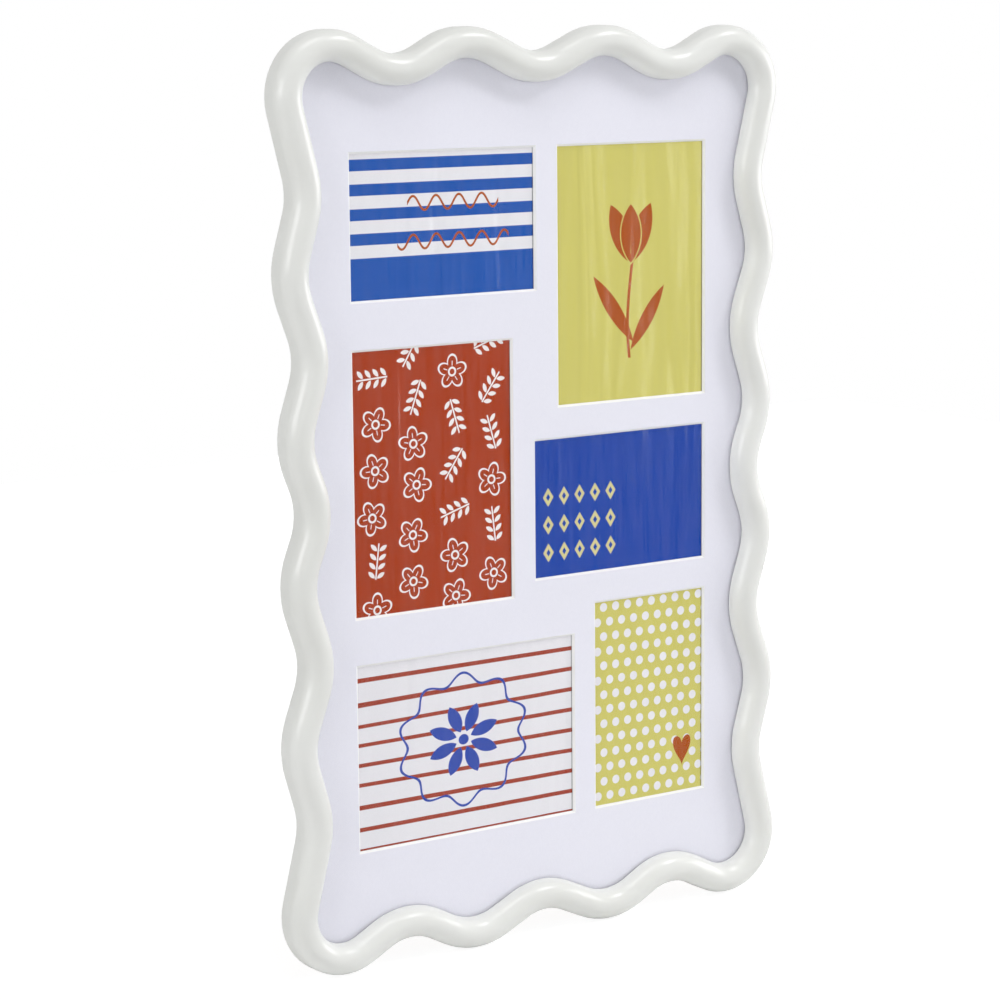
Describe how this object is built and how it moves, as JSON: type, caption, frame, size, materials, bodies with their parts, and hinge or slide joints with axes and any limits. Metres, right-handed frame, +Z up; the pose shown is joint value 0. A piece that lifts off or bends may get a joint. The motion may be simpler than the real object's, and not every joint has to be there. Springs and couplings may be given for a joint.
{
  "type": "collage photo frame",
  "caption": "Wall frame with a wavy half-round moulding and a bevelled mat holding a staggered group of prints in portrait and landscape windows.",
  "frame": {"origin": "centre of the whole frame's bounding box, halfway between the crown of the moulding and the wall pads", "axes": "+X to the viewer's right, +Y from the front towards the wall, +Z up"},
  "size_m": [0.4058, 0.0244, 0.618],
  "materials": {
    "lacquer": "white gloss lacquer on fibreboard",
    "glazing": "clear acrylic sheet",
    "mat": "matt off-white mat board with white bevels",
    "tape": "paper tape",
    "backing": "plain hardboard",
    "screw": "zinc plated",
    "plated_steel": "zinc plated sheet and wire",
    "pad": "soft translucent grey",
    "print_top_left": "satin print, blue and white stripes",
    "print_top_right": "satin print, yellow green",
    "print_middle_left": "satin print, rust red with white motifs",
    "print_middle_right": "satin print, plain blue",
    "print_bottom_left": "satin print, red stripes on off-white",
    "print_bottom_right": "satin print, white dots on yellow green"
  },
  "bodies": {
    "frame": {"frame_moulding": "lacquer", "glazing": "glazing", "mat_board": "mat", "print_top_left": "print_top_left", "print_middle_left": "print_middle_left", "print_bottom_left": "print_bottom_left", "print_top_right": "print_top_right", "print_middle_right": "print_middle_right", "print_bottom_right": "print_bottom_right", "print_tapes": "tape", "backing_board": "backing", "button_screws": "screw", "hanger_strap_left": "plated_steel", "hanger_strap_right": "plated_steel", "hanger_screws": "screw", "wall_bumpers": "pad"},
    "button_1": {"turn_button_1": "plated_steel"},
    "button_2": {"turn_button_2": "plated_steel"},
    "button_3": {"turn_button_3": "plated_steel"},
    "button_4": {"turn_button_4": "plated_steel"},
    "button_5": {"turn_button_5": "plated_steel"},
    "button_6": {"turn_button_6": "plated_steel"},
    "button_7": {"turn_button_7": "plated_steel"},
    "button_8": {"turn_button_8": "plated_steel"},
    "button_9": {"turn_button_9": "plated_steel"},
    "button_10": {"turn_button_10": "plated_steel"},
    "button_11": {"turn_button_11": "plated_steel"},
    "button_12": {"turn_button_12": "plated_steel"},
    "ring_left": {"hanger_ring_left": "plated_steel"},
    "ring_right": {"hanger_ring_right": "plated_steel"}
  },
  "joints": [
    {"name": "button_1_turn", "type": "hinge", "parent": "frame", "child": "button_1", "pos_m": [0.18842, 0.00825, 0.04609], "axis": [0, 1, 0], "continuous": true},
    {"name": "button_2_turn", "type": "hinge", "parent": "frame", "child": "button_2", "pos_m": [0.19034, 0.00825, 0.15211], "axis": [0, 1, 0], "continuous": true},
    {"name": "button_3_turn", "type": "hinge", "parent": "frame", "child": "button_3", "pos_m": [0.05705, 0.00825, 0.29877], "axis": [0, 1, 0], "continuous": true},
    {"name": "button_4_turn", "type": "hinge", "parent": "frame", "child": "button_4", "pos_m": [-0.05705, 0.00825, 0.29877], "axis": [0, 1, 0], "continuous": true},
    {"name": "button_5_turn", "type": "hinge", "parent": "frame", "child": "button_5", "pos_m": [-0.19034, 0.00825, 0.15211], "axis": [0, 1, 0], "continuous": true},
    {"name": "button_6_turn", "type": "hinge", "parent": "frame", "child": "button_6", "pos_m": [-0.18842, 0.00825, 0.04609], "axis": [0, 1, 0], "continuous": true},
    {"name": "button_7_turn", "type": "hinge", "parent": "frame", "child": "button_7", "pos_m": [-0.18842, 0.00825, -0.04609], "axis": [0, 1, 0], "continuous": true},
    {"name": "button_8_turn", "type": "hinge", "parent": "frame", "child": "button_8", "pos_m": [-0.19034, 0.00825, -0.15211], "axis": [0, 1, 0], "continuous": true},
    {"name": "button_9_turn", "type": "hinge", "parent": "frame", "child": "button_9", "pos_m": [-0.05705, 0.00825, -0.29877], "axis": [0, 1, 0], "continuous": true},
    {"name": "button_10_turn", "type": "hinge", "parent": "frame", "child": "button_10", "pos_m": [0.05705, 0.00825, -0.29877], "axis": [0, 1, 0], "continuous": true},
    {"name": "button_11_turn", "type": "hinge", "parent": "frame", "child": "button_11", "pos_m": [0.19034, 0.00825, -0.15211], "axis": [0, 1, 0], "continuous": true},
    {"name": "button_12_turn", "type": "hinge", "parent": "frame", "child": "button_12", "pos_m": [0.18842, 0.00825, -0.04609], "axis": [0, 1, 0], "continuous": true},
    {"name": "ring_left_swing", "type": "hinge", "parent": "frame", "child": "ring_left", "pos_m": [-0.177, 0.00995, 0.10967], "axis": [1, 0, 0], "range_deg": [0, 180]},
    {"name": "ring_right_swing", "type": "hinge", "parent": "frame", "child": "ring_right", "pos_m": [0.177, 0.00995, 0.10967], "axis": [1, 0, 0], "range_deg": [0, 180]}
  ]
}
